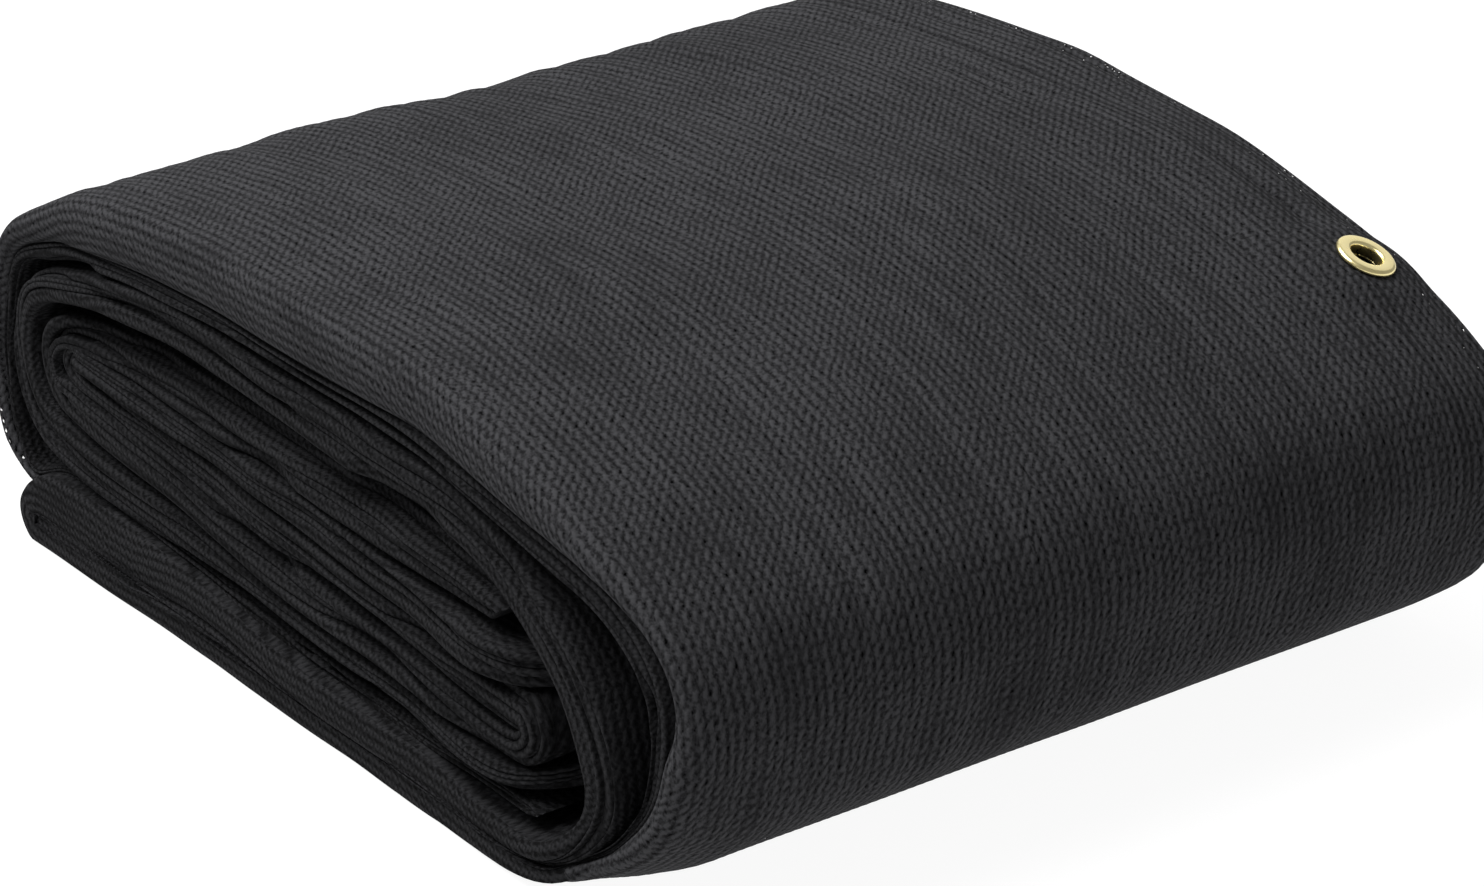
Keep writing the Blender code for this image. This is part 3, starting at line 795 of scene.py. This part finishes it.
# %% The knit's holes
HOLE_EDGE = -0.08        # the knit is open where its yarn is thinner than this
LAST_TURN = 848          # stitches along the strip to its last turn, where it lies loose


def knit_holes(s, cloth, m):
    """1 in a hole. The holes are wider at the folded edge and at the last turn, but few of the
    edge's stay open."""
    yarn = m.chain * 0.52 + m.slant * 0.34 + (m.grain - 0.5) * 0.9
    edge = m.rib_at.step(1.6, 1.25)
    loose = edge * 0.18 + m.stitch_at.step(LAST_TURN - 6, LAST_TURN) * 0.18
    hole = (yarn - loose).step(HOLE_EDGE + 0.10, HOLE_EDGE - 0.02)
    edge_open = s.noise(cloth, 0.55, 1.0).step(0.54, 0.58)
    return hole * (1 - edge * (m.rib_at.step(-0.05, 0.05) - edge_open).maths("MAXIMUM", 0.0))


print("the last turn starts", round(LAST_TURN * STITCH, 3), "m along the strip")

# %% The knit's material
YARN_DARK, YARN_LIGHT = 0.0085, 0.037
YARN_BLUE = 1.07         # how much bluer the yarn is than grey
# The colour painted into the plies' holes: painted shade of the plies lying below them.
PLY_HOLE_SHADE = (0.004, 0.004, 0.004, 1)
SEAMS = (1.6, 2.35, 7.6, 8.35)   # the hem's rows of sewing, in ribs from the folded edge


def knit(name, see_through, relief, painted_light_level):
    """The knit's material. A see-through sheet has real holes, and other plies have holes painted
    dark, as painted shade of the plies below. The relief is how much the chains of loops stand out,
    and the painted light level scales the yarn's greys, so that the plies' copy is painted darker
    than the sheet's, as painted shade on the wound ends."""
    greys = (YARN_DARK * painted_light_level, YARN_LIGHT * painted_light_level)
    dark, light = [(grey, grey, grey * YARN_BLUE, 1) for grey in greys]
    s = Shader(name)
    cloth = s.node("ShaderNodeUVMap", {"uv_map": "cloth"}, {})
    m = knit_masks(s, cloth)
    hole = knit_holes(s, cloth, m)
    height = m.chain * (0.15 + relief * m.loops) + m.slant * (0.1 + m.chain * 0.4)
    height = height + m.grain * 0.8 + m.fibre * 0.25 - hole * 0.3
    tick = m.chain * m.slant     # where two yarns cross
    tone = m.chain * (m.patch * 0.24 + relief * 0.3 * m.loops + 0.12)
    tone = tone + m.slant * (0.30 - 0.20 * m.patch)
    tone = tone + tick * 0.55 + (m.grain - 0.5) * 3.0 + m.fibre * 0.3 - 0.04
    if see_through:
        for seam in SEAMS:
            sewn = (m.rib_at - seam).maths("ABSOLUTE").step(0.38, 0.12)
            tone, height = tone * (1 - sewn * 0.35), height - sewn * 0.5
    # Broad patches and long streaks of the whole cloth are lighter or darker: partly random tone, partly
    # painted shade of soft folds.
    broad = s.noise(cloth, 0.045, 3.0)
    long_cloth = s.node("ShaderNodeMapping", {}, {"Vector": cloth, "Scale": (0.10, 0.50, 1)})
    streak_tone_and_shade = s.noise(long_cloth, 1.0, 3.0)
    shade = (tone * (broad * 1.2 + streak_tone_and_shade * 1.4 - 0.3)).maths("MULTIPLY", 1.0, clamp=True)
    colour = s.blend(shade, dark, light)
    if see_through:
        s.set(Alpha=1 - hole)
    else:
        # In the plies the holes are painted dark, as painted shade of the plies below.
        colour = s.blend(hole * 0.6, colour, PLY_HOLE_SHADE)
    s.set(Base_Color=colour, Roughness=0.78 + (1 - m.chain) * 0.15)
    s.set(Normal=s.bump(height, 0.6, 0.0006))
    s.set(Specular_IOR_Level=0.03)
    print(name, "nodes:", len(s.nodes))
    return s.material


sheet_knit = knit("sheet_knit", see_through=True, relief=0.2, painted_light_level=1.15)
# The plies' copy has darker greys than the sheet's: painted shade on the wound ends.
ply_knit_painted_shade = knit("ply_knit_painted_shade", see_through=False, relief=0.7, painted_light_level=0.54)
net_sheet.data.materials.append(sheet_knit)
net_plies.data.materials.append(ply_knit_painted_shade)
net_hem.data.materials.append(sheet_knit)

# %% [markdown]
# ## The eyelet
# A brass eyelet is two turned pieces clinched together: a flanged barrel from above and a washer
# from below. A torus could stand in for it, but it has no barrel and no flat lip. A section was
# drawn for each piece and turned about the eyelet's axis, as the real ones are pressed round.

# %% The eyelet's turned mesh
eyelet_low, eyelet_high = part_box("eyelet")
print("the eyelet's solid is", round(eyelet_low[2], 4), "to", round(eyelet_high[2], 4), "m up")
EYELET_STEPS = 96


def turned(name, profile, steps):
    """A closed section of (radius, height) points turned about the eyelet's axis."""
    turn = Vector((0, 0, 1)).rotation_difference(Vector(SEAT_NORMAL)).to_matrix()
    angles = np.linspace(0, 2 * math.pi, steps, endpoint=False)
    points = [Vector(SEAT) + turn @ Vector((r * math.cos(a), r * math.sin(a), z))
              for a in angles for r, z in profile]
    count = len(profile)
    quads = [(i * count + j, i * count + (j + 1) % count, (i + 1) % steps * count + (j + 1) % count,
              (i + 1) % steps * count + j) for i in range(steps) for j in range(count)]
    mesh = bpy.data.meshes.new(name)
    mesh.from_pydata(points, [], quads)
    mesh.shade_smooth()
    obj = bpy.data.objects.new(name, mesh)
    bpy.context.scene.collection.objects.link(obj)
    print(name, 2 * len(quads), "triangles")
    return obj


def rounded(centre_r, centre_z, half_r, half_z, start, end, count=10):
    """An arc of an ellipse in the eyelet's section."""
    angles = np.radians(np.linspace(start, end, count))
    return [(centre_r + half_r * math.cos(a), centre_z + half_z * math.sin(a)) for a in angles]


# %% The eyelet's two pieces
BORE_R, OUTER_R, WALL = 0.00635, 0.0120, 0.0008
flange = [(BORE_R, -0.0030)] + rounded(BORE_R + 0.0013, 0.0008, 0.0013, 0.0014, 180, 90)
flange += rounded(OUTER_R - 0.0016, 0.0008, 0.0016, 0.0014, 90, -30)
flange += [(OUTER_R - 0.0010, 0.0001), (BORE_R + WALL, 0.0003), (BORE_R + WALL, -0.0030)]
washer = [(BORE_R, -0.0027), (BORE_R + 0.0005, -0.0027), (0.0108, -0.0027), (0.0108, -0.0034),
          (0.0104, -0.0037), (BORE_R + 0.0004, -0.0037), (BORE_R, -0.0033)]
eyelet_ring = turned("eyelet_ring", flange, EYELET_STEPS)
eyelet_washer = turned("eyelet_washer", washer, EYELET_STEPS)

# %% [markdown]
# ## The eyelet's brass
# The eyelet is pale polished brass that has been touched. One flat metal would look like plastic
# here, so a fine smudge of noise varies its colour a little and its roughness more.

# %% The brass
brass = Shader("polished_brass")
place = brass.node("ShaderNodeTexCoord", {}, {}, "Object")
smudge = brass.noise(place, 300.0, 3.0)
brass.set(Base_Color=brass.blend(smudge, (0.93, 0.78, 0.36, 1), (0.99, 0.88, 0.48, 1)), Metallic=1.0)
brass.set(Roughness=smudge * 0.14 + 0.22)
for piece in (eyelet_ring, eyelet_washer):
    piece.data.materials.append(brass.material)
print("brass nodes:", len(brass.nodes))

# %% [markdown]
# ## What each piece is
# Nothing on a wound net moves on its own, so every piece rides on the one body. The cloth pieces
# stand for the two soft solids and the turned pieces for the eyelet's solid.

# %% Riding, and hiding the solids
pieces = (
    (net_plies, "net_cloth", ("net_body",)),
    (net_sheet, "net_cloth", ("net_body", "hem_strip")),
    (net_hem, "net_cloth", ("hem_strip",)),
    (eyelet_ring, "eyelet_brass", ("eyelet",)),
    (eyelet_washer, "eyelet_brass", ("eyelet",)),
)
for piece, slot, nodes in pieces:
    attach(piece, "root")
    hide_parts(*nodes)
    print(piece.name, "stands for", ", ".join(nodes))

# %% The outer sheet's length
sheet_long = float(outer.along[-1, 0] - outer.along[0, 0])
print("the outer sheet is", round(sheet_long, 3), "m long")

# %% [markdown]
# ## The studio
# The bundle lies on white paper that almost glows, in an even white surround. Black cloth needs
# broad light to show its folds: one large soft lamp hangs over the wound end, and a weak one stands
# behind for the far side. A spot would be simpler, but its hard shadows hide the plies. The camera
# looks down on the wound end and along the roll, through a long lens that keeps the shape true.

# %% The floor
bpy.ops.mesh.primitive_plane_add(size=8, location=(0, 0, 0))
floor = bpy.context.object
floor.name = "studio_floor"
paper = Shader("floor_paper")
paper.set(Base_Color=(0.12, 0.12, 0.12, 1), Roughness=0.9)
paper.set(Emission_Color=(1, 1, 1, 1), Emission_Strength=0.93)
floor.data.materials.append(paper.material)
print("floor:", floor.name)

# %% The surround and the lamps
world = bpy.data.worlds.new("studio")
bpy.context.scene.world = world
world.use_nodes = True
surround = world.node_tree.nodes["Background"]
surround.inputs["Color"].default_value = (1, 1, 1, 1)
surround.inputs["Strength"].default_value = 0.30
LAMP_AIM = Vector((0, 0, 0.08))


def lamp(name, size, power, place):
    """A square soft lamp that shines on the bundle."""
    data = bpy.data.lights.new(name, "AREA")
    data.shape, data.size, data.energy = "SQUARE", size, power
    obj = bpy.data.objects.new(name, data)
    bpy.context.scene.collection.objects.link(obj)
    obj.location = place
    obj.rotation_euler = (LAMP_AIM - Vector(place)).to_track_quat("-Z", "Y").to_euler()
    print("lamp", name, power, "W")


lamp("overhead", size=2.0, power=106, place=(-0.7, -0.8, 2.15))
lamp("window", size=2.0, power=8, place=(-1.5, 2.0, 1.2))

# %% The camera
AZIMUTH, ELEVATION, DISTANCE = math.radians(53.36), math.radians(24.66), 1.9303
AIM = Vector((-0.0010, 0.0057, 0.0600))
back = Vector((math.sin(AZIMUTH) * math.cos(ELEVATION), -math.cos(AZIMUTH) * math.cos(ELEVATION),
               math.sin(ELEVATION)))
camera = bpy.data.objects.new("camera", bpy.data.cameras.new("camera"))
camera.data.lens = 123.0
camera.data.sensor_width = 36.0
camera.location = AIM + back * DISTANCE
camera.rotation_euler = back.to_track_quat("Z", "Y").to_euler()
bpy.context.scene.collection.objects.link(camera)
bpy.context.scene.camera = camera
bpy.context.scene.view_settings.view_transform = "Standard"
print("camera at", [round(c, 3) for c in camera.location])

# %% The end
bpy.context.view_layer.update()
